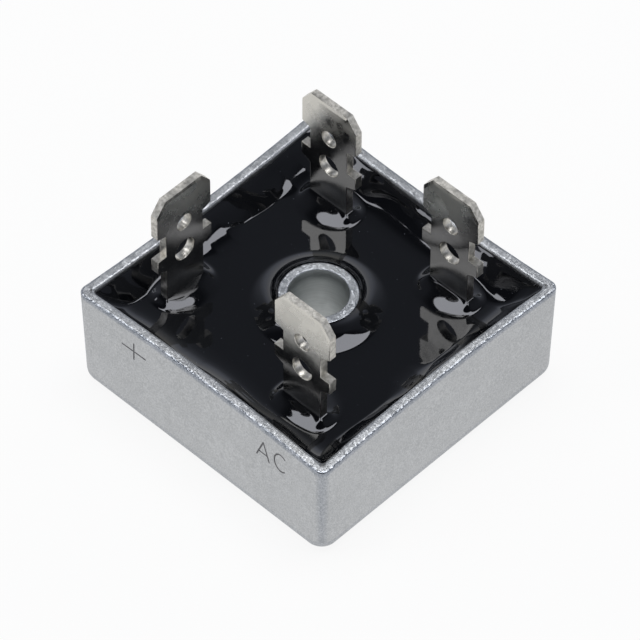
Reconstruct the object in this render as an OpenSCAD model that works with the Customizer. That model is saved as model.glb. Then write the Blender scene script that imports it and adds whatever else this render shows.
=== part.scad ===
// Bridge rectifier: a square aluminium case filled with resin, with a screw hole through its
// middle and a blade terminal near each corner. Four diode chips lie inside, between copper
// plates: two on the plus plate, two on the minus plate, and an AC bridge over each pair.
// Origin: centre of the case's underside. +Z points out of the open side of the case.
// The wall that carries the polarity marks faces -Y, and they read along +X.

/* [Case] */
// Side of the square case
case_side = 28.6; // [28:0.1:32]
// Height from the underside to the rim
case_h = 10.7; // [10.2:0.1:13]
// Thickness of the four walls
wall_t = 1.0; // [0.8:0.1:1.4]
// Thickness of the floor under the resin
floor_t = 2; // [1.4:0.1:2.4]
// Radius of the four upright outer corners
corner_r = 1.1; // [0.8:0.1:2.4]
// Radius of the four upright inner corners
inner_corner_r = 0.4; // [0.2:0.1:1]
// Radius of the edge round the underside
base_edge_r = 1.1; // [0.4:0.1:1.5]
// How far each wall bows inward at the middle of its rim
rim_bow = 0.35; // [0.15:0.05:0.6]

/* [Screw post] */
// Diameter of the screw hole
bore_d = 5.2; // [4.4:0.1:5.6]
// Outer diameter of the post round the screw hole
post_d = 7.0; // [6.4:0.1:8]
// How far the post's end lies below the rim
post_drop = 0.55; // [0.1:0.05:0.8]
// Radius of the outer edge at the post's end
post_edge_r = 0.3; // [0.1:0.05:0.5]
// Countersink of the hole at each end, across and along the axis
bore_chamfer = 0.15; // [0.1:0.05:0.4]

/* [Resin] */
// How far the flat resin surface lies below the rim
fill_drop = 2.2; // [1.6:0.1:2.8]
// How far from a wall the resin starts to climb it
wall_reach = 3; // [2:0.1:4]
// Bare band between the climbing resin and the rim
wall_dry = 0.45; // [0.2:0.05:0.9]
// How far from the post the resin starts to climb it
post_reach = 2.8; // [1.6:0.1:3.4]
// Bare band between the climbing resin and the post's rounded edge
post_dry = 0.1; // [0.05:0.05:0.4]
// Radius of the round mound of resin at each terminal
mound_r = 2.9; // [2.6:0.1:3.6]
// Height of the mound at the middle of the terminal
mound_h = 1.2; // [0.6:0.1:1.8]

/* [Terminals] */
// Width of the blade
blade_w = 6.2; // [5.6:0.05:6.6]
// Thickness of the blade
blade_t = 0.8; // [0.6:0.05:1]
// Height of the blade's tip above the rim
blade_rise = 10.6; // [10:0.1:13]
// Sideways size of the slanted corners at the tip
tip_corner_w = 1; // [0.5:0.05:1.3]
// Upright size of the slanted corners at the tip
tip_corner_h = 1.3; // [0.6:0.05:1.6]
// Coined bevel along the tip, taken off each face
bevel_t = 0.18; // [0.1:0.02:0.26]
// Height of the coined bevel along the tip
bevel_h = 0.45; // [0.3:0.05:0.6]
// Distance from the tip down to the shoulders
head_h = 3.9; // [3:0.1:4.4]
// Drop of the shoulders from the blade's edge to the neck
shoulder_drop = 0.34; // [0.1:0.02:0.5]
// Width of the neck, and of the stem below the ears
stem_w = 4.3; // [4:0.1:5.2]
// Width across the ears that stop the push-on receptacle
ear_w = 6.3; // [5.8:0.1:7.2]
// Distance from the tip down to the top of the ears
ear_depth = 6.7; // [6.2:0.1:7.1]
// Height of the upright outer edge of the ears
ear_h = 1.35; // [0.8:0.1:1.6]
// Drop of the ears' underside from their edge to the stem
ear_taper = 0.43; // [0.2:0.02:0.8]
// Diameter of the detent hole near the tip
detent_d = 1.65; // [1.2:0.05:1.9]
// Distance from the tip down to the detent hole's middle
detent_depth = 4.05; // [3.6:0.05:4.4]
// Diameter of the wire hole
wire_hole_d = 2.2; // [1.8:0.1:2.5]
// Distance from the tip down to the wire hole's middle
wire_hole_depth = 7.4; // [7:0.05:7.9]
// Distance from the nearest wall to the middle plane of the AC and minus blades
blade_inset = 4.5; // [4:0.1:5]
// Distance from the adjoining wall to the centre line of the AC and minus blades
side_inset = 6.3; // [5.8:0.1:6.8]
// Distance from the nearest wall to the middle plane of the plus blade
plus_blade_inset = 3.8; // [3.4:0.1:4.4]
// Distance from the adjoining wall to the centre line of the plus blade
plus_side_inset = 6.7; // [6:0.1:7]
// Inner radius of the bend where the stem turns into the foot
bend_r = 0.4; // [0.3:0.05:0.6]
// Bare margin of plate past the foot's end
foot_margin = 0.1; // [0.05:0.05:0.3]

/* [Inside] */
// Thickness of the ceramic insulator on the floor
insulator_t = 0.6; // [0.4:0.05:1]
// Gap from the insulator to the walls and to the post
insulator_gap = 0.5; // [0.3:0.05:0.9]
// Gap from the plates' outer edges to the walls
plate_gap = 2.5; // [1.8:0.1:2.8]
// Width of the plates' arms
arm_w = 4.6; // [4.2:0.1:4.8]
// Corner radius of the plates
plate_corner_r = 0.5; // [0.3:0.05:1]
// Thickness of the plus and minus plates
plate_t = 0.8; // [0.6:0.05:1]
// Thickness of the two AC bridges
bridge_t = 0.6; // [0.5:0.05:0.8]
// Side of the square diode chips
die_side = 4; // [3:0.1:4.2]
// Thickness of the diode chips
die_t = 0.3; // [0.2:0.02:0.4]
// Thickness of every solder joint
solder_t = 0.1; // [0.06:0.02:0.2]
// Bare margin of plate past the chip at an arm's end
arm_margin = 0.3; // [0.1:0.05:0.8]

/* [Hidden] */
$fn = 96;

// Cuts run this far past the faces that they open
past = 1;

// Case: each wall's bowed face lies on a wide cylinder that leans in towards the rim
half_side = case_side / 2;
inner_half = half_side - wall_t;
base_r = min(base_edge_r, corner_r);
bow_half = half_side - corner_r;
bow_r = (bow_half * bow_half + rim_bow * rim_bow) / (2 * rim_bow);
bow_lean = atan(rim_bow / case_h);
bow_fn = 720;
post_top = case_h - post_drop;

// Resin: flat level, and how high it climbs
resin_top = case_h - fill_drop;
wall_climb = fill_drop - wall_dry;
post_climb = post_top - post_edge_r - post_dry - resin_top;

// Heights of the stack inside, from the floor up
insulator_z = floor_t;
plate_z = insulator_z + insulator_t;
under_z = plate_z + plate_t;
die_z = under_z + solder_t;
over_z = die_z + die_t;
bridge_z = over_z + solder_t;
bridge_top = bridge_z + bridge_t;

// The plates' arms, and the foot that each terminal stands on
arm_outer = inner_half - plate_gap;
arm_mid = arm_outer - arm_w / 2;
arm_end = die_side / 2 + arm_margin;
foot_line = plate_gap + arm_w - foot_margin;
blade_top = case_h + blade_rise;

// Each terminal: name, turn of the wall it stands by, side of that wall, height under its
// solder, distance from that wall and distance from the adjoining one
TERMINALS = [
    ["plus", -90, 1, under_z, plus_blade_inset, plus_side_inset],
    ["ac1", 0, 1, bridge_top, blade_inset, side_inset],
    ["minus", 180, -1, under_z, blade_inset, side_inset],
    ["ac2", 180, 1, bridge_top, blade_inset, side_inset]
];

// Each diode: the two conductors that it joins, and the turn of the wall it lies by
DIODES = [["plus_ac1", 0], ["minus_ac1", 90], ["minus_ac2", 180], ["plus_ac2", 270]];

// What is left of a square when a convex corner at the origin is rounded to radius r
module round_off(r) {
    difference() {
        translate([-r, -r]) square(r + past);
        translate([-r, -r]) circle(r);
    }
}

// Fillet of liquid against an upright face at x = 0: a hollow arc, flat where it meets y = 0
module climb_section(reach, climb) {
    arc_r = (reach * reach + climb * climb) / (2 * climb);
    difference() {
        square([reach, climb]);
        translate([reach, arc_r]) circle(arc_r, $fn = 360);
    }
}

module rounded_square(side, r) {
    straight = side - 2 * r;
    square([straight, side], center = true);
    square([side, straight], center = true);
    for (x = [-1, 1], y = [-1, 1]) translate([x, y] * straight / 2) circle(r);
}

module rounded_bar(low, size, r) {
    translate(low + [r, 0]) square([size.x - 2 * r, size.y]);
    translate(low + [0, r]) square([size.x, size.y - 2 * r]);
    for (x = [r, size.x - r], y = [r, size.y - r]) translate(low + [x, y]) circle(r);
}

// ---- Case: one piece of aluminium, a square cup with the screw post in its middle ----

// Upright section from the middle of a block out to its rounded foot
module case_section(reach) {
    difference() {
        square([reach, case_h]);
        translate([reach, 0]) mirror([0, 1]) round_off(base_r);
    }
}

module case_block() {
    for (turn = [0, 90]) {
        rotate(turn) rotate([90, 0, 0]) linear_extrude(2 * bow_half, center = true)
            for (side = [0, 1]) mirror([side, 0]) case_section(half_side);
    }
    for (x = [-1, 1], y = [-1, 1]) {
        translate([x * bow_half, y * bow_half, 0]) rotate_extrude() case_section(corner_r);
    }
}

// The hollows of the four bowed walls: depth 0 is the outer face, wall_t the inner one
module wall_bows(depth) {
    for (turn = [0:90:270]) {
        rotate(turn) translate([0, -half_side - bow_r, 0]) rotate([-bow_lean, 0, 0])
            cylinder(r = bow_r + depth, h = 4 * case_h, center = true, $fn = bow_fn);
    }
}

// Room inside the walls, from the floor up
module cavity(height) {
    difference() {
        translate([0, 0, floor_t]) linear_extrude(height) rounded_square(2 * inner_half, inner_corner_r);
        wall_bows(wall_t);
    }
}

module post() {
    rotate_extrude() difference() {
        square([post_d / 2, post_top]);
        translate([post_d / 2, post_top]) round_off(post_edge_r);
    }
}

module screw_hole() {
    translate([0, 0, -past]) cylinder(d = bore_d, h = post_top + 2 * past);
    rotate_extrude() for (end = [[0, 1], [post_top, -1]]) {
        mouth = bore_d / 2 + bore_chamfer;
        polygon([
            [0, end[0] - end[1] * past], [mouth, end[0] - end[1] * past], [mouth, end[0]],
            [bore_d / 2, end[0] + end[1] * bore_chamfer], [0, end[0] + end[1] * bore_chamfer]
        ]);
    }
}

module case() {
    color("silver") difference() {
        union() {
            difference() {
                case_block();
                wall_bows(0);
                cavity(case_h);
            }
            post();
        }
        screw_hole();
    }
}

// ---- Terminals: plated brass blades, pushed through the resin to a foot on their plate ----

// Blade outline in its own plane, from the tip down to the stem
module blade_outline(bottom) {
    blade_half = blade_w / 2;
    stem_half = stem_w / 2;
    shoulder_z = blade_top - head_h;
    ear_z = blade_top - ear_depth;
    right = [
        [blade_half - tip_corner_w, blade_top],
        [blade_half, blade_top - tip_corner_h],
        [blade_half, shoulder_z],
        [stem_half, shoulder_z - shoulder_drop],
        [stem_half, ear_z],
        [ear_w / 2, ear_z],
        [ear_w / 2, ear_z - ear_h],
        [stem_half, ear_z - ear_h - ear_taper],
        [stem_half, bottom]
    ];
    left = [for (i = [len(right) - 1:-1:0]) [-right[i].x, right[i].y]];
    polygon(concat(right, left));
}

// Wedge that bevels one face along an edge of the given length, centred on the origin
module edge_bevel(length) {
    rotate([90, 0, 90]) linear_extrude(length + bevel_h, center = true)
        polygon([
            [0, -bevel_h], [past, -bevel_h], [past, past], [-bevel_t, past], [-bevel_t, 0]
        ]);
}

module tip_bevels() {
    corner_edge = norm([tip_corner_w, tip_corner_h]);
    corner_turn = atan(tip_corner_h / tip_corner_w);
    for (face = [0, 1]) mirror([0, face, 0]) translate([0, blade_t / 2, 0]) {
        translate([0, 0, blade_top]) edge_bevel(blade_w - 2 * tip_corner_w);
        for (side = [0, 1]) mirror([side, 0, 0])
            translate([(blade_w - tip_corner_w) / 2, 0, blade_top - tip_corner_h / 2])
                rotate([0, corner_turn, 0]) edge_bevel(corner_edge);
    }
}

// Side view of the stem's lower end: the bend and the foot, the foot's underside at y = 0
module foot_section(foot_end) {
    bend_x = blade_t / 2 + bend_r;
    bend_y = blade_t + bend_r;
    intersection() {
        translate([bend_x, bend_y]) difference() {
            circle(bend_r + blade_t);
            circle(bend_r);
        }
        translate([-blade_t / 2, 0]) square([blade_t + bend_r, bend_y]);
    }
    translate([bend_x, 0]) square([foot_end - bend_x, blade_t]);
}

// One terminal by the -Y wall with its foot pointing at the middle of the case
module terminal_body(foot_z, foot_end) {
    difference() {
        rotate([90, 0, 0]) linear_extrude(blade_t, center = true) difference() {
            blade_outline(foot_z + blade_t + bend_r);
            translate([0, blade_top - detent_depth]) circle(d = detent_d);
            translate([0, blade_top - wire_hole_depth]) circle(d = wire_hole_d);
        }
        tip_bevels();
    }
    translate([0, 0, foot_z]) rotate([90, 0, 90]) linear_extrude(stem_w, center = true)
        foot_section(foot_end);
}

// Puts what is made at the origin where the terminal stands
module at_terminal(terminal) {
    rotate(terminal[1])
        translate([terminal[2] * (inner_half - terminal[5]), terminal[4] - inner_half, 0])
            children();
}

module terminal(terminal) {
    color([0.80, 0.78, 0.73]) at_terminal(terminal)
        terminal_body(terminal[3] + solder_t, foot_line - terminal[4]);
}

module foot_solder(terminal) {
    flat_start = blade_t / 2 + bend_r;
    color([0.70, 0.70, 0.72]) at_terminal(terminal)
        translate([-stem_w / 2, flat_start, terminal[3]])
            cube([stem_w, foot_line - terminal[4] - flat_start, solder_t]);
}

// ---- Inside: insulator, copper plates, diode chips and their solder ----

module insulator() {
    color([0.93, 0.92, 0.88]) translate([0, 0, insulator_z]) linear_extrude(insulator_t)
        difference() {
            rounded_square(2 * (inner_half - insulator_gap - rim_bow), plate_corner_r);
            circle(d = post_d + 2 * insulator_gap);
        }
}

// L-shaped plate round the corner at -X and -Y
module corner_plate(turn, z, thickness) {
    long = arm_outer + arm_end;
    color([0.78, 0.48, 0.30]) rotate(turn) translate([0, 0, z]) linear_extrude(thickness) {
        rounded_bar([-arm_outer, -arm_outer], [long, arm_w], plate_corner_r);
        rounded_bar([-arm_outer, -arm_outer], [arm_w, long], plate_corner_r);
    }
}

module plus_plate() { corner_plate(0, plate_z, plate_t); }
module ac1_bridge() { corner_plate(90, bridge_z, bridge_t); }
module minus_plate() { corner_plate(180, plate_z, plate_t); }
module ac2_bridge() { corner_plate(270, bridge_z, bridge_t); }

// Square layer of the stack over the middle of one arm
module stack_layer(turn, z, thickness) {
    rotate(turn) translate([-die_side / 2, -arm_mid - die_side / 2, z])
        cube([die_side, die_side, thickness]);
}

module diode(diode) { color([0.30, 0.31, 0.34]) stack_layer(diode[1], die_z, die_t); }
module solder_under(diode) { color([0.70, 0.70, 0.72]) stack_layer(diode[1], under_z, solder_t); }
module solder_over(diode) { color([0.70, 0.70, 0.72]) stack_layer(diode[1], over_z, solder_t); }

// ---- Resin: poured in last, round everything inside, and drawn up every upright face ----

module resin_form() {
    translate([-half_side, -half_side, 0]) cube([case_side, case_side, resin_top]);
    translate([0, 0, resin_top]) {
        for (turn = [0:90:270]) {
            rotate(turn) translate([0, -inner_half, 0]) rotate([90, 0, 90])
                linear_extrude(case_side, center = true) climb_section(wall_reach, wall_climb);
        }
        rotate_extrude() translate([post_d / 2, 0]) climb_section(post_reach, post_climb);
        for (terminal = TERMINALS) {
            at_terminal(terminal) rotate_extrude() climb_section(mound_r, mound_h);
        }
    }
}

module embedded() {
    insulator();
    plus_plate();
    minus_plate();
    ac1_bridge();
    ac2_bridge();
    for (terminal = TERMINALS) {
        terminal(terminal);
        foot_solder(terminal);
    }
    for (diode = DIODES) {
        diode(diode);
        solder_under(diode);
        solder_over(diode);
    }
}

module resin() {
    color([0.09, 0.09, 0.10]) difference() {
        intersection() {
            cavity(case_h);
            resin_form();
        }
        cylinder(d = post_d, h = case_h);
        embedded();
    }
}

case();
resin();
insulator();
plus_plate();
minus_plate();
ac1_bridge();
ac2_bridge();
for (terminal = TERMINALS) {
    terminal(terminal);
    foot_solder(terminal);
}
for (diode = DIODES) {
    diode(diode);
    solder_under(diode);
    solder_over(diode);
}
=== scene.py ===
"""Looks of the potted bridge rectifier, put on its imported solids. Lengths are in metres."""
import math

import bmesh
import bpy
import numpy as np
from mathutils import Matrix, Vector, noise


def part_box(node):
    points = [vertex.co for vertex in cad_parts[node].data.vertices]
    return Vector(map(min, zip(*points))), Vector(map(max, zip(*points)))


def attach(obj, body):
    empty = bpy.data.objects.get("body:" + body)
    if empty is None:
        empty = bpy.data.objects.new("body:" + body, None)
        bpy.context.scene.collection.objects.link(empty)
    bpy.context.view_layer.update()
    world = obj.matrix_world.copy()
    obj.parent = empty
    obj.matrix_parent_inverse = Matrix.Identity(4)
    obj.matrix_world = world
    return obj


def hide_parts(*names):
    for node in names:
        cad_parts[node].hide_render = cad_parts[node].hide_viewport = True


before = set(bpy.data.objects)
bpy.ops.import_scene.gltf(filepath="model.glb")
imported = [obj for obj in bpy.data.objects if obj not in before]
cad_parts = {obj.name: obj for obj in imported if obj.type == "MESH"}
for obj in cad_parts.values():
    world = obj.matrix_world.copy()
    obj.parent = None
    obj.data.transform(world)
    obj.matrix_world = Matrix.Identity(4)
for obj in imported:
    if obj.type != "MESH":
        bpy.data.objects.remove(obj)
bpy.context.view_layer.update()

# ---- Camera ----
# A long lens looks down on the open side from beyond the front corner, so that the marked wall
# lies on the left and its neighbour on the right.
MM = 0.001
camera_turn = math.radians(43.89)
camera_elevation = math.radians(49.42)
camera_roll = math.radians(0.27)
camera_distance = 492.8 * MM
camera_aim = Vector((-0.90, 1.13, 5.0)) * MM
# Focal length and width of the sensor, in millimetres as Blender takes them
focal_length = 328.4
sensor_width = 36


def linked_object(name, data):
    """An object with this mesh, lamp or camera, put in the scene."""
    made = bpy.data.objects.new(name, data)
    bpy.context.scene.collection.objects.link(made)
    return made


camera_data = bpy.data.cameras.new("camera")
camera_data.sensor_width = sensor_width
camera_data.lens = focal_length
camera = linked_object("camera", camera_data)
towards_camera = Vector((
    math.sin(camera_turn) * math.cos(camera_elevation),
    -math.cos(camera_turn) * math.cos(camera_elevation),
    math.sin(camera_elevation),
))
upright_view = towards_camera.to_track_quat("Z", "Y")
camera.rotation_mode = "QUATERNION"
camera.rotation_quaternion = upright_view @ Matrix.Rotation(camera_roll, 3, "Z").to_quaternion()
camera.location = camera_aim + towards_camera * camera_distance
bpy.context.scene.camera = camera

# ---- Case ----
# One piece of aluminium, cast as a square cup with the screw post in its middle and then tumbled:
# the walls bow in towards the rim, every edge is worn round and the skin is finely grained.
case_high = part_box("case")[1]
half_side = case_high.x
rim_z = case_high.z
wall_t = 1.0 * MM
floor_z = 2.0 * MM
rim_bow = 0.35 * MM
rim_corner_r = 0.85 * MM
base_corner_r = 1.6 * MM
inner_corner_r = 0.4 * MM
base_edge_r = 1.1 * MM
rim_edge_r = 0.17 * MM
rim_inner_edge_r = 0.28 * MM
post_r = 3.5 * MM
post_drop = 0.55 * MM
post_top = rim_z - post_drop
post_edge_r = 0.17 * MM
bore_r = 2.6 * MM
bore_chamfer = 0.08 * MM
# The skin is rings of points: so many along each side and round each corner, and so many rings
# over each stretch from the base's edge up, over the rim, down to the floor and through the post
SIDE_POINTS = 172
CORNER_POINTS = 8
RINGS = {
    "base edge": 7, "wall": 24, "rim edge": 7, "rim": 5, "inner edge": 5, "inner wall": 14,
    "post": 6, "post edge": 6, "post end": 4, "bore": 8,
}
# How far tumbling has rubbed each stretch, from 0 for the cast skin to 1 for bright metal.
# On the upright corners the darker rubbed colour that this brings is painted shade.
WEAR_AND_SHADE = {
    "base edge": 0.35, "wall": 0, "rim edge": 1, "rim": 0.3, "inner edge": 0.4, "inner wall": 0,
    "post": 0, "post edge": 0.6, "post end": 0.5, "bore edge": 0.8, "bore": 0.1, "bore foot": 0.2,
    # The upright corners' share paints them darker: painted shade for the dim room that they mirror
    "upright corner": 0.5,
}
# A ring this far inside each edge keeps the flat between the edges flat under smooth shading
EDGE_STEP = 0.02 * MM
# A rounded edge's inset takes this much off the corner's radius, at the base and at the rim
BASE_CORNER_LOSS = 0.8
RIM_CORNER_LOSS = 0.9


def bow_at(z):
    """How far the middle of each wall stands in from its ends, at one height."""
    return rim_bow * z / rim_z


def square_ring(z, inset, corner_r):
    """Points round the case at one height, inset from its outer faces, starting on the -Y wall."""
    half = half_side - inset
    straight = half - corner_r
    along = np.linspace(-straight, straight, SIDE_POINTS)
    wall = np.stack([along, bow_at(z) * (1 - (along / straight) ** 2) - half], axis=1)
    turn = np.linspace(-math.pi / 2, 0, CORNER_POINTS + 2)[1:-1]
    corner = straight * np.array([1, -1]) + corner_r * np.stack([np.cos(turn), np.sin(turn)], axis=1)
    quarter = np.concatenate([wall, corner])
    rows = []
    for quarters in range(4):
        c, s = round(math.cos(quarters * math.pi / 2)), round(math.sin(quarters * math.pi / 2))
        rows.append(quarter @ np.array([[c, s], [-s, c]]))
    ring = np.concatenate(rows)
    return np.column_stack([ring, np.full(len(ring), z)])


ring_angles = np.arctan2(*square_ring(0, 0, base_corner_r)[:, 1::-1].T)


def round_ring(z, radius):
    """Points round the post at one height, each in line with one of the square rings' points."""
    return np.column_stack([
        radius * np.cos(ring_angles), radius * np.sin(ring_angles), np.full(len(ring_angles), z)
    ])


def quarter_steps(steps):
    """Sine and cosine through a quarter turn, both ends included."""
    return [(math.sin(a), math.cos(a)) for a in np.linspace(0, math.pi / 2, steps)]


def outer_corner_r(z):
    """Radius of the upright corners at one height; they taper towards the rim."""
    return base_corner_r + (rim_corner_r - base_corner_r) * z / rim_z


case_rings = []


def add_ring(stretch, ring):
    """Adds the next ring of points to the skin, worn as its stretch is."""
    case_rings.append((ring, WEAR_AND_SHADE[stretch]))


for s, c in quarter_steps(RINGS["base edge"]):
    z = base_edge_r * (1 - c)
    inset = base_edge_r * (1 - s)
    corner = outer_corner_r(z) - BASE_CORNER_LOSS * inset
    add_ring("base edge", square_ring(z, inset, corner))
for z in np.linspace(base_edge_r, rim_z - rim_edge_r, RINGS["wall"])[1:-1]:
    add_ring("wall", square_ring(z, 0, outer_corner_r(z)))
for s, c in quarter_steps(RINGS["rim edge"]):
    z = rim_z - rim_edge_r * (1 - s)
    inset = rim_edge_r * (1 - c)
    add_ring("rim edge", square_ring(z, inset, rim_corner_r - RIM_CORNER_LOSS * inset))
rim_outer, rim_inner = rim_edge_r + EDGE_STEP, wall_t - rim_inner_edge_r - EDGE_STEP
for inset in np.linspace(rim_outer, rim_inner, RINGS["rim"]):
    corner = rim_corner_r + (inner_corner_r - rim_corner_r) * inset / wall_t
    add_ring("rim", square_ring(rim_z, inset, corner))
for s, c in quarter_steps(RINGS["inner edge"]):
    z = rim_z - rim_inner_edge_r * (1 - c)
    inset = wall_t - rim_inner_edge_r * (1 - s)
    add_ring("inner edge", square_ring(z, inset, inner_corner_r))
for z in np.linspace(rim_z - rim_inner_edge_r, floor_z, RINGS["inner wall"])[1:]:
    add_ring("inner wall", square_ring(z, wall_t, inner_corner_r))
for z in np.linspace(floor_z, post_top - post_edge_r, RINGS["post"])[:-1]:
    add_ring("post", round_ring(z, post_r))
for s, c in quarter_steps(RINGS["post edge"]):
    z = post_top - post_edge_r * (1 - s)
    add_ring("post edge", round_ring(z, post_r - post_edge_r * (1 - c)))
end_outer, end_inner = post_r - post_edge_r - EDGE_STEP, bore_r + bore_chamfer + EDGE_STEP
for radius in np.linspace(end_outer, end_inner, RINGS["post end"]):
    add_ring("post end", round_ring(post_top, radius))
add_ring("bore edge", round_ring(post_top, bore_r + bore_chamfer))
add_ring("bore edge", round_ring(post_top - bore_chamfer, bore_r))
for z in np.linspace(post_top - bore_chamfer, bore_chamfer, RINGS["bore"])[1:]:
    add_ring("bore", round_ring(z, bore_r))
add_ring("bore foot", round_ring(0, bore_r + bore_chamfer))

points = np.concatenate([ring for ring, wear_and_shade in case_rings])
wear_and_shade = np.concatenate([np.full(len(ring), wear_and_shade) for ring, wear_and_shade in case_rings])
# The upright corners are rubbed as well, and the darker rubbed colour there is painted shade,
# standing in for the dim room that the corners mirror. A point's reach is its lesser distance
# from the two middle planes, as a share of the half side: the wear sets in at one reach and is
# full at another
CORNER_START = 0.93
CORNER_SPAN = 0.04
corner_reach = np.minimum(abs(points[:, 0]), abs(points[:, 1])) / half_side
corner_wear_and_shade = np.clip((corner_reach - CORNER_START) / CORNER_SPAN, 0, 1)
wear_and_shade = np.maximum(wear_and_shade, corner_wear_and_shade * WEAR_AND_SHADE["upright corner"])
per_ring = len(ring_angles)
starts = np.arange(len(case_rings)) * per_ring
faces = []
for this_ring, next_ring in zip(starts, np.roll(starts, -1)):
    near = np.arange(per_ring)
    far = np.roll(near, -1)
    faces.append(np.column_stack([
        this_ring + near, this_ring + far, next_ring + far, next_ring + near
    ]))
faces = np.concatenate(faces)

# Tumbling leaves the worn edges a little uneven; the dents only ever go inwards and down
dent_depth = 0.025 * MM
dent_size = 0.4 * MM
DENT_WEAR = 0.3
DENT_INWARD = 0.5
DENT_DOWN = 0.6
for i in np.flatnonzero((wear_and_shade >= DENT_WEAR) & (points[:, 2] > floor_z)):
    place = Vector(points[i])
    depth = dent_depth * wear_and_shade[i] * (0.5 + 0.5 * noise.noise(place / dent_size))
    if place.xy.length > post_r + wall_t:
        inward = Vector((-place.x, -place.y, 0)).normalized() * DENT_INWARD
    else:
        inward = Vector((0, 0, 0))
    points[i] = place + (inward - Vector((0, 0, DENT_DOWN))) * depth

case_mesh = bpy.data.meshes.new("case_skin")
case_mesh.from_pydata(points.tolist(), [], faces.tolist())
case_mesh.attributes.new("wear_and_shade", "FLOAT", "POINT").data.foreach_set("value", wear_and_shade.astype(np.float32))
case_mesh.shade_smooth()
case_mesh.update()
case_skin = linked_object("case_skin", case_mesh)


def add_node(tree, kind, settings=None, **inputs):
    """Adds a node to a tree, sets its options, and sets or links its inputs by socket name."""
    node = tree.nodes.new(kind)
    for key, value in (settings or {}).items():
        setattr(node, key, value)
    for name, value in inputs.items():
        set_input(tree, node, name.replace("_", " "), value)
    return node


def set_input(tree, node, name, value):
    """Links a socket into a node's input, or sets the input's own value."""
    index = int(name) if name.isdigit() else name
    if isinstance(value, bpy.types.NodeSocket):
        tree.links.new(value, node.inputs[index])
    else:
        node.inputs[index].default_value = value


def calc(tree, operation, *values):
    """One Math node; values are numbers or sockets. Returns its output."""
    node = tree.nodes.new("ShaderNodeMath")
    node.operation = operation
    for i, value in enumerate(values):
        set_input(tree, node, str(i), value)
    return node.outputs[0]


def vector_calc(tree, operation, *values):
    """One Vector Math node; returns its vector, or its value for LENGTH and DOT_PRODUCT."""
    node = tree.nodes.new("ShaderNodeVectorMath")
    node.operation = operation
    for i, value in enumerate(values):
        set_input(tree, node, str(i), value)
    return node.outputs["Value" if operation in ("LENGTH", "DOT_PRODUCT") else "Vector"]


def remap(tree, value, low, high, to_low, to_high):
    """Clamped Map Range from low..high to to_low..to_high."""
    node = tree.nodes.new("ShaderNodeMapRange")
    for i, entry in enumerate((value, low, high, to_low, to_high)):
        set_input(tree, node, str(i), entry)
    return node.outputs[0]


def grain(tree, place, size, detail=2.0, roughness=0.5):
    """Noise whose features are about size across, from 0 to 1."""
    node = add_node(tree, "ShaderNodeTexNoise", Vector=place, Scale=1 / size, Detail=detail,
                    Roughness=roughness)
    return node.outputs["Fac"]


def blend_colours(tree, factor, first, second):
    """Mixes two colours; a factor of 0 gives the first and 1 the second."""
    node = tree.nodes.new("ShaderNodeMix")
    node.data_type = "RGBA"
    set_input(tree, node, "0", factor)
    set_input(tree, node, "6", first)
    set_input(tree, node, "7", second)
    return node.outputs[2]


def new_material(name, **principled):
    """A material with its Principled shader's plain values set; returns it, its tree and shader."""
    material = bpy.data.materials.new(name)
    material.use_nodes = True
    shader = material.node_tree.nodes["Principled BSDF"]
    for key, value in principled.items():
        shader.inputs[key.replace("_", " ")].default_value = value
    return material, material.node_tree, shader


def object_place(tree):
    """The place of a point on the piece, in metres from the part's own origin."""
    return tree.nodes.new("ShaderNodeTexCoord").outputs["Object"]


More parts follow.
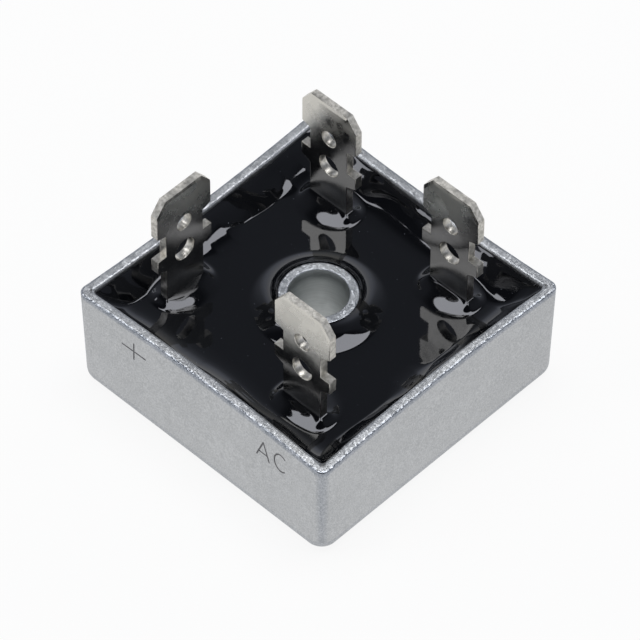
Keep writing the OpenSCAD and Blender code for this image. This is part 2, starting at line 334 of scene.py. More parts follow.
def case_aluminium():
    """Cast and tumbled aluminium, rubbed bright where it is worn, and reamed in the bore."""
    material, tree, shader = new_material("case_aluminium", Metallic=1.0)
    place = object_place(tree)
    worn_and_shaded = add_node(tree, "ShaderNodeAttribute", {"attribute_name": "wear_and_shade"}).outputs["Fac"]
    fine = grain(tree, place, 0.15 * MM, 3.0, 0.65)
    middle = grain(tree, place, 0.8 * MM, 3.0, 0.55)
    broad = grain(tree, place, 5 * MM, 2.0)
    mottle = calc(tree, "ADD", calc(tree, "MULTIPLY", fine, 0.65), calc(tree, "MULTIPLY", middle, 0.25))
    mottle = calc(tree, "ADD", mottle, calc(tree, "MULTIPLY", broad, 0.10))
    shade = remap(tree, mottle, 0.40, 0.62, 0.0, 1.0)
    cast = blend_colours(tree, shade, (0.41, 0.42, 0.43, 1), (0.58, 0.59, 0.60, 1))
    # The rubbed colour is darker and bluer; on the upright corners it is painted shade
    rubbed_and_shaded = blend_colours(tree, shade, (0.20, 0.22, 0.25, 1), (0.45, 0.47, 0.51, 1))
    colour = blend_colours(tree, remap(tree, worn_and_shaded, 0.1, 0.7, 0.0, 1.0), cast, rubbed_and_shaded)
    # The bore is reamed: smooth, with faint rings left by the tool
    from_axis = vector_calc(tree, "LENGTH", vector_calc(tree, "MULTIPLY", place, (1, 1, 0)))
    reamed = calc(tree, "LESS_THAN", from_axis, bore_r + 0.03 * MM)
    rings = add_node(tree, "ShaderNodeMapping", Vector=place)
    rings.inputs["Scale"].default_value = (0.1, 0.1, 1)
    rings = remap(tree, grain(tree, rings.outputs[0], 0.15 * MM, 2.0), 0.35, 0.65, 0.0, 1.0)
    tooled = blend_colours(tree, rings, (0.47, 0.49, 0.49, 1), (0.53, 0.55, 0.55, 1))
    colour = blend_colours(tree, reamed, colour, tooled)
    tree.links.new(colour, shader.inputs["Base Color"])
    rough = calc(tree, "SUBTRACT", remap(tree, middle, 0.3, 0.7, 0.42, 0.52),
                 calc(tree, "MULTIPLY", worn_and_shaded, 0.12))
    tree.links.new(rough, shader.inputs["Roughness"])
    # Each grain of the tumbled skin tilts its own way, most of all on the worn edges
    cells = add_node(tree, "ShaderNodeTexVoronoi", Vector=place, Scale=1 / (0.16 * MM))
    tilt = vector_calc(tree, "SUBTRACT", cells.outputs["Color"], (0.5, 0.5, 0.5))
    amount = calc(tree, "ADD", 0.11, calc(tree, "MULTIPLY", calc(tree, "POWER", worn_and_shaded, 1.3), 0.28))
    amount = calc(tree, "MULTIPLY", amount, remap(tree, reamed, 0.0, 1.0, 1.0, 0.25))
    scaled = tree.nodes.new("ShaderNodeVectorMath")
    scaled.operation = "SCALE"
    tree.links.new(tilt, scaled.inputs[0])
    tree.links.new(amount, scaled.inputs["Scale"])
    bump = add_node(tree, "ShaderNodeBump", Strength=0.6, Distance=0.02 * MM, Height=mottle)
    tilted = vector_calc(tree, "ADD", bump.outputs[0], scaled.outputs[0])
    tree.links.new(vector_calc(tree, "NORMALIZE", tilted), shader.inputs["Normal"])
    return material


case_mesh.materials.append(case_aluminium())
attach(case_skin, "root")
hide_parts("case")

# ---- Polarity marks ----
# The plus and the letters AC are thin grooves cut into the marked wall by a laser, burnt dark.
# Each stroke is a shallow strip that lies on the bowed wall, over the terminal that it names.
stroke_w = 0.15 * MM
stroke_t = 0.006 * MM
STROKE_STEP = 0.12 * MM


def wall_point(along, z, proud):
    """A point on the outside of the marked wall, which bows as the case's skin does."""
    straight = half_side - outer_corner_r(z)
    return (along, bow_at(z) * (1 - (along / straight) ** 2) - half_side - proud, z)


def add_stroke(mesh, path):
    """One stroke along a path of (along, z) points: a thin closed strip on the wall."""
    dense = [Vector(path[0])]
    for end in path[1:]:
        start = dense[-1].copy()
        end = Vector(end)
        steps = max(1, round((end - start).length / STROKE_STEP))
        dense += [start.lerp(end, i / steps) for i in range(1, steps + 1)]
    rings = []
    for i, middle in enumerate(dense):
        ahead = dense[min(i + 1, len(dense) - 1)] - dense[max(i - 1, 0)]
        across = Vector((-ahead.y, ahead.x)).normalized() * stroke_w / 2
        low, high = middle - across, middle + across
        rings.append([
            mesh.verts.new(wall_point(edge.x, edge.y, proud))
            for edge, proud in ((low, -stroke_t), (low, stroke_t), (high, stroke_t), (high, -stroke_t))
        ])
    for first, second in zip(rings, rings[1:]):
        for i in range(4):
            mesh.faces.new((first[i], first[(i + 1) % 4], second[(i + 1) % 4], second[i]))
    mesh.faces.new(rings[0][::-1])
    mesh.faces.new(rings[-1])


def arc_path(centre, radii, start, end, steps=18):
    """Points on part of an ellipse, angles in degrees."""
    angles = np.radians(np.linspace(start, end, steps + 1))
    return [(centre[0] + radii[0] * math.cos(a), centre[1] + radii[1] * math.sin(a)) for a in angles]


plus_centre = Vector((-7.73, 8.15)) * MM
plus_arms = Vector((1.38, 1.0)) * MM
letter_h = 2.0 * MM
letter_w = 1.5 * MM
a_centre = Vector((7.35, 8.0)) * MM
c_centre = Vector((9.42, 8.12)) * MM
a_bar = 0.32
marks_bm = bmesh.new()
for arm in (Vector((plus_arms.x, 0)), Vector((0, plus_arms.y))):
    add_stroke(marks_bm, [plus_centre - arm, plus_centre + arm])
a_top = a_centre + Vector((0, letter_h / 2))
a_feet = [a_centre + Vector((side * letter_w / 2, -letter_h / 2)) for side in (-1, 1)]
add_stroke(marks_bm, [a_feet[0], a_top, a_feet[1]])
add_stroke(marks_bm, [foot.lerp(a_top, a_bar) for foot in a_feet])
add_stroke(marks_bm, arc_path(c_centre, (letter_w / 2, letter_h / 2), 48, 312))
bmesh.ops.recalc_face_normals(marks_bm, faces=marks_bm.faces)
marks_mesh = bpy.data.meshes.new("polarity_marks")
marks_bm.to_mesh(marks_mesh)
marks_bm.free()
polarity_marks = linked_object("polarity_marks", marks_mesh)


def burnt_groove():
    """The bottom of a groove that a laser has burnt dark, here and there less so."""
    material, tree, shader = new_material("burnt_groove", Metallic=0.3, Roughness=0.6)
    burn = grain(tree, object_place(tree), 0.25 * MM, 3.0)
    colour = blend_colours(tree, remap(tree, burn, 0.3, 0.7, 0.0, 1.0),
                           (0.07, 0.07, 0.075, 1), (0.17, 0.17, 0.175, 1))
    tree.links.new(colour, shader.inputs["Base Color"])
    return material


marks_mesh.materials.append(burnt_groove())
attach(polarity_marks, "root")

# ---- Terminals ----
# Four blades stamped from brass strip and plated: a coined tip, a detent hole, a wire hole and two
# ears. Under the resin each stem bends into a foot, which is soldered to the plate below.
blade_w = 6.2 * MM
blade_t = 0.8 * MM
tip_corner_w = 1.0 * MM
tip_corner_h = 1.3 * MM
bevel_t = 0.06 * MM
bevel_h = 0.30 * MM
head_h = 3.9 * MM
shoulder_drop = 0.34 * MM
stem_w = 4.3 * MM
ear_w = 6.3 * MM
ear_depth = 6.7 * MM
ear_h = 1.35 * MM
ear_taper = 0.43 * MM
detent_d = 1.65 * MM
detent_depth = 4.05 * MM
wire_hole_d = 2.2 * MM
wire_hole_depth = 7.4 * MM
bend_r = 0.4 * MM
stamped_edge_r = 0.05 * MM
# Handling has dulled the plating from the first of these heights up, fully above the second
dull_start_z = 15.5 * MM
dull_full_z = 19.5 * MM
HOLE_POINTS = 72
BEND_STEPS = 8
WELD_DISTANCE = 1e-7
# A face is one of the two flat ones where its normal's share along the blade's thickness is at
# least the first of these, and a sheared edge where it is less than the second
FLAT_FACING = 0.999
SHEARED_FACING = 0.7
# Each terminal and the turn that brings it from the -Y wall to its own
TERMINAL_TURNS = {"plus": -90, "ac1": 0, "minus": 180, "ac2": 180}


def terminal_place(name):
    """Blade centre, turn, length under the tip and foot length, read from the terminal's solid."""
    turn = math.radians(TERMINAL_TURNS[name])
    low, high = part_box(name + "_terminal")
    back = Matrix.Rotation(-turn, 3, "Z")
    corners = [back @ Vector((x, y, 0)) for x in (low.x, high.x) for y in (low.y, high.y)]
    xs = [corner.x for corner in corners]
    ys = [corner.y for corner in corners]
    return {
        "turn": turn,
        "x": (min(xs) + max(xs)) / 2,
        "y": min(ys) + blade_t / 2,
        "foot_end": max(ys) - min(ys) - blade_t / 2,
        "foot_z": low.z,
        "tip_z": high.z,
    }


def blade_plate(place):
    """The flat stamping with its holes and rounded edges, standing in the XZ plane."""
    tip = place["tip_z"]
    half_w, half_stem, half_ear = blade_w / 2, stem_w / 2, ear_w / 2
    shoulder, ear = tip - head_h, tip - ear_depth
    bottom = place["foot_z"] + blade_t
    right = [
        (half_w - tip_corner_w, tip), (half_w, tip - tip_corner_h), (half_w, shoulder),
        (half_stem, shoulder - shoulder_drop), (half_stem, ear), (half_ear, ear),
        (half_ear, ear - ear_h), (half_stem, ear - ear_h - ear_taper), (half_stem, bottom),
    ]
    outline = right + [(-x, z) for x, z in reversed(right)]
    contours = [outline]
    for diameter, depth in ((detent_d, detent_depth), (wire_hole_d, wire_hole_depth)):
        contours.append(arc_path((0, tip - depth), (diameter / 2, diameter / 2), 0,
                                 360 * (1 - 1 / HOLE_POINTS), HOLE_POINTS - 1))
    curve = bpy.data.curves.new("blade_outline", "CURVE")
    curve.dimensions = "2D"
    curve.fill_mode = "BOTH"
    curve.extrude = blade_t / 2 - stamped_edge_r
    curve.bevel_depth = stamped_edge_r
    curve.bevel_resolution = 2
    curve.offset = -stamped_edge_r
    for contour in contours:
        spline = curve.splines.new("POLY")
        spline.points.add(len(contour) - 1)
        for point, (x, z) in zip(spline.points, contour):
            point.co = (x, z, 0, 1)
        spline.use_cyclic_u = True
    holder = bpy.data.objects.new("blade_outline", curve)
    mesh = bpy.data.meshes.new_from_object(holder)
    bpy.data.objects.remove(holder)
    bpy.data.curves.remove(curve)
    mesh.transform(Matrix.Rotation(math.pi / 2, 4, "X"))
    return mesh


def coin_tip(bm, tip):
    """Cuts the coined bevels along the tip and its two slanted corners, on both faces."""
    corner = Vector((tip_corner_h, 0, tip_corner_w)).normalized()
    edges = [(Vector((0, 0, tip)), Vector((0, 0, 1)))]
    for side in (-1, 1):
        middle = Vector((side * (blade_w - tip_corner_w) / 2, 0, tip - tip_corner_h / 2))
        edges.append((middle, Vector((side * corner.x, 0, corner.z))))
    for face in (-1, 1):
        for middle, outward in edges:
            start = middle - outward * bevel_h + Vector((0, face * blade_t / 2, 0))
            normal = outward * bevel_t + Vector((0, face * bevel_h, 0))
            cut = bmesh.ops.bisect_plane(
                bm, geom=bm.verts[:] + bm.edges[:] + bm.faces[:], dist=WELD_DISTANCE,
                plane_co=start, plane_no=normal.normalized(), clear_outer=True)
            rim = [part for part in cut["geom_cut"] if isinstance(part, bmesh.types.BMEdge)]
            bmesh.ops.edgeloop_fill(bm, edges=rim)


def blade_foot(place):
    """The bend and the foot as one bar, whose top end lies inside the stem."""
    z0 = place["foot_z"]
    centre_y, centre_z = blade_t / 2 + bend_r, z0 + blade_t + bend_r
    overlap = 0.5 * MM
    inner = [(blade_t / 2, centre_z + overlap)]
    outer = [(-blade_t / 2, centre_z + overlap)]
    for i in range(BEND_STEPS + 1):
        a = math.pi + math.pi / 2 * i / BEND_STEPS
        inner.append((centre_y + bend_r * math.cos(a), centre_z + bend_r * math.sin(a)))
        outer.append((centre_y + (bend_r + blade_t) * math.cos(a),
                      centre_z + (bend_r + blade_t) * math.sin(a)))
    inner.append((place["foot_end"], z0 + blade_t))
    outer.append((place["foot_end"], z0))
    bm = bmesh.new()
    rows = [
        [bm.verts.new((x, y, z)) for x in (-stem_w / 2, stem_w / 2) for y, z in side]
        for side in (inner, outer)
    ]
    n = len(inner)
    for i in range(n - 1):
        for row, flip in ((rows[0], 1), (rows[1], -1)):
            bm.faces.new([row[i], row[i + 1], row[n + i + 1], row[n + i]][::flip])
        for side in (0, n):
            bm.faces.new([rows[0][side + i], rows[0][side + i + 1],
                          rows[1][side + i + 1], rows[1][side + i]])
    for i in (0, n - 1):
        bm.faces.new([rows[0][i], rows[0][n + i], rows[1][n + i], rows[1][i]])
    bmesh.ops.recalc_face_normals(bm, faces=bm.faces)
    mesh = bpy.data.meshes.new("blade_foot")
    bm.to_mesh(mesh)
    bm.free()
    return mesh


def combine(first, second, operation):
    """Boolean of two objects; the first takes the result, and the second is removed."""
    modifier = first.modifiers.new("combine", "BOOLEAN")
    modifier.operation = operation
    modifier.solver = "EXACT"
    modifier.object = second
    bpy.context.view_layer.update()
    evaluated = first.evaluated_get(bpy.context.evaluated_depsgraph_get())
    mesh = bpy.data.meshes.new_from_object(evaluated)
    first.modifiers.remove(modifier)
    first.data = mesh
    bpy.data.objects.remove(second)


def terminal_blade(name):
    """One terminal in its place: the stamped and coined blade joined to its bent foot."""
    place = terminal_place(name)
    mesh = blade_plate(place)
    bm = bmesh.new()
    bm.from_mesh(mesh)
    bmesh.ops.remove_doubles(bm, verts=bm.verts, dist=WELD_DISTANCE)
    coin_tip(bm, place["tip_z"])
    bmesh.ops.recalc_face_normals(bm, faces=bm.faces)
    bm.to_mesh(mesh)
    bm.free()
    blade = linked_object(name + "_blade", mesh)
    combine(blade, linked_object(name + "_foot", blade_foot(place)), "UNION")
    # Broad and straight faces stay flat; the holes' walls and the worn edges are smooth
    straight_area = 0.15 * MM * MM
    for face in blade.data.polygons:
        face.use_smooth = abs(face.normal.y) < FLAT_FACING and face.area < straight_area
    sheared = [float(abs(face.normal.y) < SHEARED_FACING) for face in blade.data.polygons]
    blade.data.attributes.new("sheared", "FLOAT", "FACE").data.foreach_set("value", sheared)
    shift = Matrix.Translation((place["x"], place["y"], 0))
    blade.data.transform(Matrix.Rotation(place["turn"], 4, "Z") @ shift)
    return blade


def plated_brass():
    """Bright plating on rolled brass: glossy, hazy faces, and sheared edges that scatter."""
    material, tree, shader = new_material("plated_brass", Metallic=1.0)
    place = object_place(tree)
    along = add_node(tree, "ShaderNodeMapping", Vector=place)
    along.inputs["Scale"].default_value = (1, 1, 0.12)
    streaks = grain(tree, along.outputs[0], 0.10 * MM, 3.0, 0.6)
    clouds = grain(tree, place, 1.6 * MM, 4.0, 0.6)
    spots = grain(tree, place, 0.3 * MM, 3.0, 0.6)
    waves = grain(tree, place, 2.5 * MM, 1.0)
    shade = remap(tree, clouds, 0.3, 0.7, 0.0, 1.0)
    face = blend_colours(tree, shade, (0.52, 0.505, 0.465, 1), (0.63, 0.615, 0.57, 1))
    edge = blend_colours(tree, remap(tree, spots, 0.35, 0.65, 0.0, 1.0),
                         (0.36, 0.35, 0.32, 1), (0.66, 0.64, 0.60, 1))
    # The faces keep the gloss of the rolled strip; the edges and holes were sheared and scatter
    sheared = add_node(tree, "ShaderNodeAttribute", {"attribute_name": "sheared"}).outputs["Fac"]
    tree.links.new(blend_colours(tree, sheared, face, edge), shader.inputs["Base Color"])
    rough = calc(tree, "ADD", remap(tree, clouds, 0.3, 0.7, 0.10, 0.20),
                 calc(tree, "MULTIPLY", streaks, 0.06))
    rough = calc(tree, "ADD", rough, calc(tree, "MULTIPLY", sheared, 0.15))
    rise = tree.nodes.new("ShaderNodeSeparateXYZ")
    tree.links.new(place, rise.inputs[0])
    dulled = remap(tree, rise.outputs["Z"], dull_start_z, dull_full_z, 0.0, 0.08)
    patchy = remap(tree, clouds, 0.35, 0.6, 0.2, 2.0)
    rough = calc(tree, "ADD", rough, calc(tree, "MULTIPLY", dulled, patchy))
    tree.links.new(rough, shader.inputs["Roughness"])
    height = calc(tree, "ADD", calc(tree, "MULTIPLY", streaks, 0.3), calc(tree, "MULTIPLY", spots, 0.5))
    height = calc(tree, "ADD", height, calc(tree, "MULTIPLY", waves, 6.0))
    bump = add_node(tree, "ShaderNodeBump", Strength=0.25, Distance=0.01 * MM, Height=height)
    tree.links.new(bump.outputs[0], shader.inputs["Normal"])
    return material


blade_finish = plated_brass()
for name in TERMINAL_TURNS:
    blade = terminal_blade(name)
    blade.data.materials.clear()
    blade.data.materials.append(blade_finish)
    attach(blade, "root")
    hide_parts(name + "_terminal")

# ---- Resin ----
# Black epoxy poured in last: glossy, level in the middle, and drawn up the walls, the post and the
# blades by its own skin before it sets. Its free surface is one rule, so a node tree makes it.
fill_drop = 1.8 * MM
fill_z = rim_z - fill_drop
wall_climb = 1.35 * MM
SURFACE_POINTS = 280
# Where ramps and mounds meet the higher one leads, the more so the greater this power is
UNION_POWER = 3.0
# The climb is held under a ceiling just above where the resin ends on the walls
brim_rise = 0.15 * MM
brim_blend = 0.4 * MM
# It climbs the walls as a ramp, which starts with a soft fold in the level and ends in a collar.
# Each row: the ramp's slope and start, the fold's width, the collar's height and its reach.
WALL_PARTS = ("Slope", "Start", "Fold", "Collar", "Collar Reach")
WALL_RISES = {
    "-X Wall": (0.52, 2.50 * MM, 1.90 * MM, 0.10 * MM, 0.30 * MM),
    "+Y Wall": (0.54, 2.25 * MM, 1.90 * MM, 0.15 * MM, 0.30 * MM),
    "-Y Wall": (0.54, 1.75 * MM, 1.90 * MM, 0.41 * MM, 0.30 * MM),
    "+X Wall": (0.54, 1.75 * MM, 1.90 * MM, 0.41 * MM, 0.30 * MM),
}
# Round the post and round each blade it stands as a mound inside a ring, again with a collar. The
# plus blade's mound is lower. Each row: the mound's height, the ring's radius, the mound's
# fullness, the collar's height and its reach.
MOUND_PARTS = ("Height", "Ring", "Fullness", "Collar", "Collar Reach")
MOUNDS = {
    "Post": (0.39 * MM, 5.85 * MM, 1.5, 1.05 * MM, 0.60 * MM),
    "Plus Blade": (0.38 * MM, 3.15 * MM, 2.4, 0.03 * MM, 0.25 * MM),
    "Blade": (0.45 * MM, 3.15 * MM, 2.3, 0.10 * MM, 0.25 * MM),
}
# A blade's ring is wider along the blade than across it
ring_stretch = 0.92
# Along the -X and +X walls the fold is wide and sharp by turns, and sharper towards the -Y wall:
# two factors make it narrower, and each runs between a least and a greatest value
fold_crest = -0.9 * MM
fold_wave = 9.8 * MM
fold_softness = (0.03, 1.0)
fold_fade_start = -9 * MM
fold_fade_end = -2 * MM
fold_fade = (0.15, 1.0)
# The walls are wetted unevenly, in patches of this size: the ramps' slope and start wander along
# them between the least and the greatest of these factors
wet_patch = 6 * MM
slope_wander = (0.80, 1.12)
start_wander = (0.88, 1.10)
# Smallest length that a division may meet
LEAST_GAP = 0.0001 * MM


def collar(tree, given, thing, distance):
    """The last steep rise against a wall, the post or a blade, which falls off with distance."""
    fall = calc(tree, "DIVIDE", distance, given[thing + " Collar Reach"])
    fall = calc(tree, "EXPONENT", calc(tree, "MULTIPLY", fall, -1.0))
    return calc(tree, "MULTIPLY", given[thing + " Collar"], fall)


def ramp(tree, given, wall, distance, steeper, wider, softer):
    """Climb on a wall, at a distance from it; the factors vary it along the wall."""
    start = calc(tree, "MULTIPLY", given[wall + " Start"], wider)
    inside = calc(tree, "SUBTRACT", start, distance)
    fold = calc(tree, "MULTIPLY", given[wall + " Fold"], softer)
    inside = calc(tree, "SMOOTH_MAX", inside, 0.0, fold)
    slope = calc(tree, "MULTIPLY", given[wall + " Slope"], steeper)
    rise = calc(tree, "MULTIPLY", slope, inside)
    return calc(tree, "ADD", rise, collar(tree, given, wall, distance))


def mound(tree, given, thing, near, from_middle):
    """Climb on the post or a blade, from the distances to its surface and to its middle."""
    left = calc(tree, "SUBTRACT", given[thing + " Ring"], from_middle)
    left = calc(tree, "MAXIMUM", left, LEAST_GAP)
    share = calc(tree, "DIVIDE", near, calc(tree, "ADD", near, left))
    share = calc(tree, "SUBTRACT", 1.0, calc(tree, "MULTIPLY", share, share))
    share = calc(tree, "POWER", share, given[thing + " Fullness"])
    bulge = calc(tree, "MULTIPLY", share, given[thing + " Height"])
    return calc(tree, "ADD", bulge, collar(tree, given, thing, near))


def blade_mound(tree, given, flat, place, thing):
    """The mound's contours are oblong at the stem and turn round towards the ring."""
    turn = Matrix.Rotation(place["turn"], 3, "Z")
    offset = vector_calc(tree, "SUBTRACT", flat, turn @ Vector((place["x"], place["y"], 0)))
    half_w = calc(tree, "MULTIPLY", given["Stem Width"], 0.5)
    half_t = calc(tree, "MULTIPLY", given["Blade Thickness"], 0.5)
    sides, spans = [], []
    for axis, half, squeeze in (((1, 0, 0), half_w, given["Ring Stretch"]), ((0, 1, 0), half_t, 1.0)):
        reach = vector_calc(tree, "DOT_PRODUCT", offset, turn @ Vector(axis))
        reach = calc(tree, "ABSOLUTE", reach)
        spans.append(calc(tree, "MULTIPLY", reach, squeeze))
        sides.append(calc(tree, "MAXIMUM", calc(tree, "SUBTRACT", reach, half), 0.0))
    lengths = []
    for pair in (sides, spans):
        pair = add_node(tree, "ShaderNodeCombineXYZ", X=pair[0], Y=pair[1]).outputs[0]
        lengths.append(vector_calc(tree, "LENGTH", pair))
    return mound(tree, given, thing, *lengths)


def resin_surface_tree(material):
    """Node tree that makes the free surface; returns it and the values of its named inputs."""
    tree = bpy.data.node_groups.new("resin_surface", "GeometryNodeTree")
    face = tree.interface
    face.new_socket("Geometry", in_out="OUTPUT", socket_type="NodeSocketGeometry")
    sizes = {"Level": fill_z, "Half Width": half_side - wall_t, "Rim Bow": rim_bow,
             "Rim Height": rim_z, "Post Radius": post_r, "Stem Width": stem_w,
             "Blade Thickness": blade_t, "Ring Stretch": ring_stretch, "Wall Climb": wall_climb,
             "Fold Crest": fold_crest, "Fold Wave": fold_wave, "Fade Start": fold_fade_start,
             "Fade End": fold_fade_end, "Wetting Scale": 1 / wet_patch, "Brim Rise": brim_rise,
             "Brim Blend": brim_blend, "Union Power": UNION_POWER}
    for names, rows in ((WALL_PARTS, WALL_RISES), (MOUND_PARTS, MOUNDS)):
        for thing, parts in rows.items():
            sizes.update({thing + " " + part: value for part, value in zip(names, parts)})
    for name in sizes:
        face.new_socket(name, in_out="INPUT", socket_type="NodeSocketFloat")
    given = tree.nodes.new("NodeGroupInput").outputs
    grid = add_node(tree, "GeometryNodeMeshGrid", Size_X=2.0, Size_Y=2.0,
                    Vertices_X=SURFACE_POINTS, Vertices_Y=SURFACE_POINTS)
    split = tree.nodes.new("ShaderNodeSeparateXYZ")
    tree.links.new(tree.nodes.new("GeometryNodeInputPosition").outputs[0], split.inputs[0])
    u, v = split.outputs["X"], split.outputs["Y"]
    # The walls lean in: the grid's edge follows them at the height where the resin ends
    wall_z = calc(tree, "ADD", given["Level"], given["Wall Climb"])
    bow = calc(tree, "MULTIPLY", given["Rim Bow"], calc(tree, "DIVIDE", wall_z, given["Rim Height"]))
    spans = []
    for other in (v, u):
        middle = calc(tree, "SUBTRACT", 1.0, calc(tree, "MULTIPLY", other, other))
        spans.append(calc(tree, "SUBTRACT", given["Half Width"], calc(tree, "MULTIPLY", bow, middle)))
    x = calc(tree, "MULTIPLY", u, spans[0])
    y = calc(tree, "MULTIPLY", v, spans[1])
    flat = add_node(tree, "ShaderNodeCombineXYZ", X=x, Y=y).outputs[0]
    wander = add_node(tree, "ShaderNodeTexNoise", Vector=flat, Scale=given["Wetting Scale"],
                      Detail=0.0)
    shades = tree.nodes.new("ShaderNodeSeparateXYZ")
    tree.links.new(wander.outputs["Color"], shades.inputs[0])
    steeper = remap(tree, shades.outputs[0], 0.3, 0.7, *slope_wander)
    wider = remap(tree, shades.outputs[1], 0.3, 0.7, *start_wander)
    phase = calc(tree, "SUBTRACT", y, given["Fold Crest"])
    phase = calc(tree, "DIVIDE", phase, given["Fold Wave"])
    phase = calc(tree, "COSINE", calc(tree, "MULTIPLY", phase, 2 * math.pi))
    fade = remap(tree, y, given["Fade Start"], given["Fade End"], *fold_fade)
    waves = calc(tree, "MULTIPLY", remap(tree, phase, -0.3, 0.8, *fold_softness), fade)
    climbs = []
    for span, share, softer, axis in ((spans[0], u, waves, "X"), (spans[1], v, 1.0, "Y")):
        pair = []
        for side, sign in ((1.0, "+"), (-1.0, "-")):
            left = calc(tree, "SUBTRACT", 1.0, calc(tree, "MULTIPLY", share, side))
            gap = calc(tree, "MULTIPLY", span, left)
            pair.append(ramp(tree, given, sign + axis + " Wall", gap, steeper, wider, softer))
        climbs.append(calc(tree, "ADD", *pair))
    from_axis = vector_calc(tree, "LENGTH", flat)
    gap = calc(tree, "MAXIMUM", calc(tree, "SUBTRACT", from_axis, given["Post Radius"]), 0.0)
    climbs.append(mound(tree, given, "Post", gap, from_axis))
    for name in TERMINAL_TURNS:
        thing = "Plus Blade" if name == "plus" else "Blade"
        climbs.append(blade_mound(tree, given, flat, terminal_place(name), thing))
    # The climbs are joined softly: each is raised to a power, and their sum's root is taken
    power = given["Union Power"]
    total = calc(tree, "POWER", climbs[0], power)
    for climb in climbs[1:]:
        total = calc(tree, "ADD", total, calc(tree, "POWER", climb, power))
    joined = calc(tree, "POWER", total, calc(tree, "DIVIDE", 1.0, power))
    height = calc(tree, "ADD", given["Level"], joined)
    ceiling = calc(tree, "ADD", wall_z, given["Brim Rise"])
    height = calc(tree, "SMOOTH_MIN", height, ceiling, given["Brim Blend"])
    spot = add_node(tree, "ShaderNodeCombineXYZ", X=x, Y=y, Z=height).outputs[0]
    shaped = add_node(tree, "GeometryNodeSetPosition", Geometry=grid.outputs["Mesh"], Position=spot)
    real = add_node(tree, "GeometryNodeRealizeInstances", Geometry=shaped.outputs[0])
    coated = add_node(tree, "GeometryNodeSetMaterial", Geometry=real.outputs[0], Material=material)
    tree.links.new(coated.outputs[0], tree.nodes.new("NodeGroupOutput").inputs[0])
    return tree, sizes


def potting_resin():
    """Glossy black epoxy with a faint haze, long low waves and a few specks of dust."""
    material, tree, shader = new_material(
        "potting_resin", Metallic=0.0, IOR=1.55, Specular_Tint=(0.90, 0.92, 1.0, 1))
    place = object_place(tree)
    # Here and there a speck of dust has settled on the skin
    specks = add_node(tree, "ShaderNodeTexVoronoi", Vector=place, Scale=1 / (0.6 * MM))
    near = remap(tree, specks.outputs["Distance"], 0.05, 0.09, 1.0, 0.0)
    pick = tree.nodes.new("ShaderNodeSeparateXYZ")
    tree.links.new(specks.outputs["Color"], pick.inputs[0])
    dust = calc(tree, "MULTIPLY", near, remap(tree, pick.outputs[0], 0.5, 1.0, 0.0, 0.7))
    colour = blend_colours(tree, dust, (0.0015, 0.0018, 0.0025, 1), (0.08, 0.09, 0.11, 1))
    tree.links.new(colour, shader.inputs["Base Color"])
    haze = remap(tree, grain(tree, place, 1.2 * MM, 3.0), 0.3, 0.7, 0.03, 0.06)
    tree.links.new(calc(tree, "ADD", haze, calc(tree, "MULTIPLY", dust, 0.4)),
                   shader.inputs["Roughness"])
    slow = grain(tree, place, 2.2 * MM, 2.0)
    bump = add_node(tree, "ShaderNodeBump", Strength=0.25, Distance=0.02 * MM, Height=slow)
    tree.links.new(bump.outputs[0], shader.inputs["Normal"])
    return material


resin_finish = potting_resin()
surface_tree, surface_sizes = resin_surface_tree(resin_finish)
surface = linked_object("resin_surface", bpy.data.meshes.new("resin_surface"))
grower = surface.modifiers.new("resin_surface", "NODES")
grower.node_group = surface_tree
for item in surface_tree.interface.items_tree:
    if item.in_out == "INPUT":
        grower[item.identifier] = surface_sizes[item.name]
bpy.context.view_layer.update()
surface_mesh = bpy.data.meshes.new_from_object(
    surface.evaluated_get(bpy.context.evaluated_depsgraph_get()))
surface.modifiers.remove(grower)
bpy.data.objects.remove(surface)


def close_resin(mesh):
    """Gives the free surface its sides, against the walls, and its underside on the case's floor."""
    bm = bmesh.new()
    bm.from_mesh(mesh)
    # The points of the brim are taken in turn round the post, so every run gives the same mesh
    brim = [vert for vert in bm.verts if vert.is_boundary]
    brim.sort(key=lambda vert: math.atan2(vert.co.y, vert.co.x))
    half = half_side - wall_t
    bow = bow_at(floor_z)
    lower = []
    for vert in brim:
        # Below it stands a point at the foot of its wall, or of both walls under a corner
        reach = max(abs(vert.co.x), abs(vert.co.y))
        other = min(abs(vert.co.x), abs(vert.co.y))
        wall = half - bow * (1 - (other / half) ** 2)
        foot = [side * wall / reach if abs(side) == reach else side for side in vert.co.xy]
        lower.append(bm.verts.new((*foot, floor_z)))
    for i in range(len(brim)):
        bm.faces.new((brim[i], lower[i], lower[i - 1], brim[i - 1]))
    bm.faces.new(lower)
    bmesh.ops.recalc_face_normals(bm, faces=bm.faces)
    bm.to_mesh(mesh)
    bm.free()


close_resin(surface_mesh)
resin_fill = linked_object("resin_fill", surface_mesh)
# The post and the stems are cut out of the filling
POST_SEGMENTS = 256
cutter_bm = bmesh.new()
bmesh.ops.create_cone(cutter_bm, cap_ends=True, segments=POST_SEGMENTS, radius1=post_r,
                      radius2=post_r, depth=2 * rim_z)
for name in TERMINAL_TURNS:
    place = terminal_place(name)
    shift = Matrix.Rotation(place["turn"], 4, "Z") @ Matrix.Translation((place["x"], place["y"], rim_z))
    slot_size = Matrix.Diagonal((stem_w, blade_t, 1.5 * rim_z, 1))
    bmesh.ops.create_cube(cutter_bm, size=1, matrix=shift @ slot_size)
cutter_mesh = bpy.data.meshes.new("resin_cutter")
cutter_bm.to_mesh(cutter_mesh)
cutter_bm.free()
combine(resin_fill, linked_object("resin_cutter", cutter_mesh), "DIFFERENCE")
SHARP_ANGLE = math.radians(35)
resin_fill.data.shade_smooth()
resin_fill.data.set_sharp_from_angle(angle=SHARP_ANGLE)
resin_fill.data.materials.clear()
resin_fill.data.materials.append(resin_finish)
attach(resin_fill, "root")
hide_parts("resin")

# ---- Inner stack ----
# Sealed under the resin: a ceramic plate, stamped copper plates and bridges, four diode chips and
# the solder that joins them. Their solids are right as they are and only take their finishes.


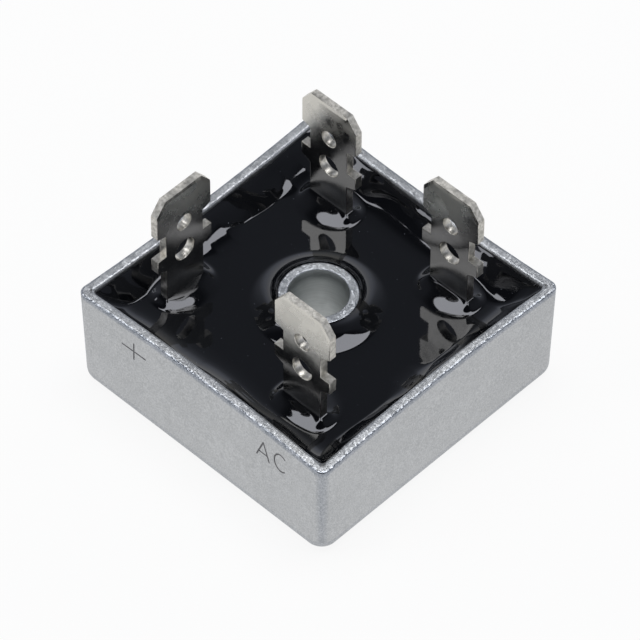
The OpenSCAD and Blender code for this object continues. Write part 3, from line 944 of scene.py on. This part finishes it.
def speckled(name, light, dark, size, low_rough, high_rough, **principled):
    """A finish whose colour and roughness drift between two values."""
    material, tree, shader = new_material(name, **principled)
    drift = grain(tree, object_place(tree), size, 3.0)
    share = remap(tree, drift, 0.3, 0.7, 0.0, 1.0)
    tree.links.new(blend_colours(tree, share, light, dark), shader.inputs["Base Color"])
    tree.links.new(remap(tree, drift, 0.3, 0.7, low_rough, high_rough), shader.inputs["Roughness"])
    return material


ceramic = speckled("insulator_ceramic", (0.86, 0.85, 0.80, 1), (0.80, 0.79, 0.75, 1),
                   0.4 * MM, 0.45, 0.60)
copper = speckled("copper", (0.72, 0.43, 0.29, 1), (0.60, 0.34, 0.22, 1),
                  1.5 * MM, 0.25, 0.40, Metallic=1.0)
silicon = speckled("silicon", (0.16, 0.17, 0.19, 1), (0.12, 0.13, 0.15, 1),
                   0.8 * MM, 0.10, 0.18, Metallic=0.6)
solder = speckled("solder", (0.60, 0.60, 0.62, 1), (0.50, 0.50, 0.52, 1),
                  0.3 * MM, 0.30, 0.50, Metallic=1.0)
for name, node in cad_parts.items():
    if name == "insulator":
        finish = ceramic
    elif name.endswith("_plate") or name.endswith("_bridge"):
        finish = copper
    elif name.startswith("diode_"):
        finish = silicon
    elif name.startswith("solder_"):
        finish = solder
    else:
        continue
    node.data.materials.clear()
    node.data.materials.append(finish)

# ---- Studio ----
# A white table that runs out to the horizon, a wide soft box overhead, a smaller lamp to its left
# and a dim room, which is white at the horizon, grey higher up and almost black overhead.
table_size = 6.0
table_bm = bmesh.new()
bmesh.ops.create_grid(table_bm, x_segments=1, y_segments=1, size=table_size / 2)
table_mesh = bpy.data.meshes.new("table")
table_bm.to_mesh(table_mesh)
table_bm.free()
table = linked_object("table", table_mesh)
table_paint = bpy.data.materials.new("table_paint")
table_paint.use_nodes = True
paint_tree = table_paint.node_tree
paint_tree.nodes.clear()
# Where the camera or a reflection sees the table, most of its white is a glow that lights nothing;
# the rest of it is lit, and holds the part's shadow
ray = paint_tree.nodes.new("ShaderNodeLightPath").outputs
seen = calc(paint_tree, "MAXIMUM", ray["Is Camera Ray"],
            calc(paint_tree, "MAXIMUM", ray["Is Glossy Ray"], ray["Is Transmission Ray"]))
matt = add_node(paint_tree, "ShaderNodeBsdfDiffuse", Color=(0.8, 0.8, 0.8, 1))
glow = add_node(paint_tree, "ShaderNodeEmission", Color=(1, 1, 1, 1), Strength=1.0)
glow_share = 0.9
lift = paint_tree.nodes.new("ShaderNodeMixShader")
paint_tree.links.new(calc(paint_tree, "MULTIPLY", seen, glow_share), lift.inputs[0])
paint_tree.links.new(matt.outputs[0], lift.inputs[1])
paint_tree.links.new(glow.outputs[0], lift.inputs[2])
paint_out = paint_tree.nodes.new("ShaderNodeOutputMaterial")
paint_tree.links.new(lift.outputs[0], paint_out.inputs["Surface"])
table_mesh.materials.append(table_paint)

away_from_camera = Vector((-math.sin(camera_turn), math.cos(camera_turn), 0))
camera_right = Vector((math.cos(camera_turn), math.sin(camera_turn), 0))
lamp_height = 0.5
# For each lamp: how far its middle lies to the camera's right and beyond the part, its width and
# depth, and its radiance
LAMPS = {
    "soft_box": (0.045, 0.062, 0.41, 0.275, 5.4),
    "side_lamp": (-0.48, -0.02, 0.20, 0.30, 4.4),
}
for name, (right, beyond, width, depth, radiance) in LAMPS.items():
    lamp = bpy.data.lights.new(name, "AREA")
    lamp.shape = "RECTANGLE"
    lamp.size = width
    lamp.size_y = depth
    lamp.energy = radiance * math.pi * width * depth
    holder = linked_object(name, lamp)
    holder.location = camera_right * right + away_from_camera * beyond + Vector((0, 0, lamp_height))
    holder.rotation_euler = (0, 0, camera_turn)

room = bpy.data.worlds.new("room")
room.use_nodes = True
room_tree = room.node_tree
room_tree.nodes.clear()
direction = room_tree.nodes.new("ShaderNodeTexCoord").outputs["Generated"]
rise_split = room_tree.nodes.new("ShaderNodeSeparateXYZ")
room_tree.links.new(direction, rise_split.inputs[0])
# Radiance of the room's sky at each sine of the height above the horizon, and its tint
HORIZON_SINE = 0.12
OVERHEAD_SINE = 0.92
SKY_LEVELS = ((0.35, 0.75), (0.47, 0.38), (0.60, 0.24), (0.72, 0.20), (0.82, 0.16), (0.87, 0.05))
SKY_TINT = (0.95, 1, 1.12)
sky = room_tree.nodes.new("ShaderNodeValToRGB")
room_tree.links.new(rise_split.outputs["Z"], sky.inputs[0])
sky.color_ramp.elements[0].position = HORIZON_SINE
sky.color_ramp.elements[0].color = (1, 1, 1, 1)
sky.color_ramp.elements[1].position = OVERHEAD_SINE
sky.color_ramp.elements[1].color = (0.04, 0.04, 0.05, 1)
for sine, level in SKY_LEVELS:
    tinted = [level * share for share in SKY_TINT]
    sky.color_ramp.elements.new(sine).color = (*tinted, 1)
# The side of the room where the camera stands is dimmer
facing = vector_calc(room_tree, "DOT_PRODUCT", direction, -away_from_camera)
dimming = remap(room_tree, facing, 0.2, 0.8, 1.0, 0.45)
room_ray = room_tree.nodes.new("ShaderNodeLightPath").outputs
shown = blend_colours(room_tree, room_ray["Is Camera Ray"], sky.outputs[0], (1, 1, 1, 1))
strength = calc(room_tree, "MAXIMUM", dimming, room_ray["Is Camera Ray"])
backdrop = add_node(room_tree, "ShaderNodeBackground", Color=shown, Strength=strength)
room_out = room_tree.nodes.new("ShaderNodeOutputWorld")
room_tree.links.new(backdrop.outputs[0], room_out.inputs["Surface"])
bpy.context.scene.world = room
bpy.context.scene.view_settings.view_transform = "Standard"
